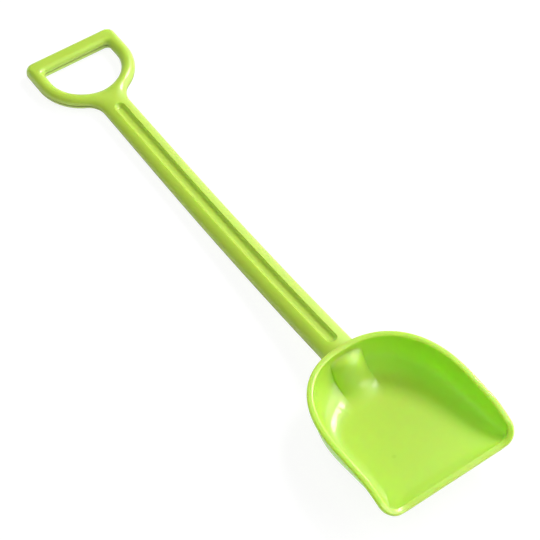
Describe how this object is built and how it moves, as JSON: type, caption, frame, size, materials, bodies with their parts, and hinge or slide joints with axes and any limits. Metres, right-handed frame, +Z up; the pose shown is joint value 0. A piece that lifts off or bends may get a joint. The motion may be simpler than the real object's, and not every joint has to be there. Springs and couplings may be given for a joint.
{
  "type": "toy sand shovel",
  "caption": "Child's plastic sand shovel: a scoop blade with a beaded rim and a straight lip, on a grooved shaft that ends in a D-shaped grip.",
  "frame": {"origin": "middle of the shovel's box in plan, on the ground that it lies on", "axes": "+Z up from the ground, +Y along the shovel from the blade's lip to the grip, X across it"},
  "size_m": [0.093, 0.4096, 0.0298],
  "materials": {
    "blade_plastic": "satin gloss, lime green, dyed through",
    "handle_plastic": "satin gloss, lime green, dyed through"
  },
  "bodies": {
    "root": {"scoop_blade": "blade_plastic", "handle_front_shell": "handle_plastic", "handle_back_shell": "handle_plastic"}
  },
  "joints": []
}
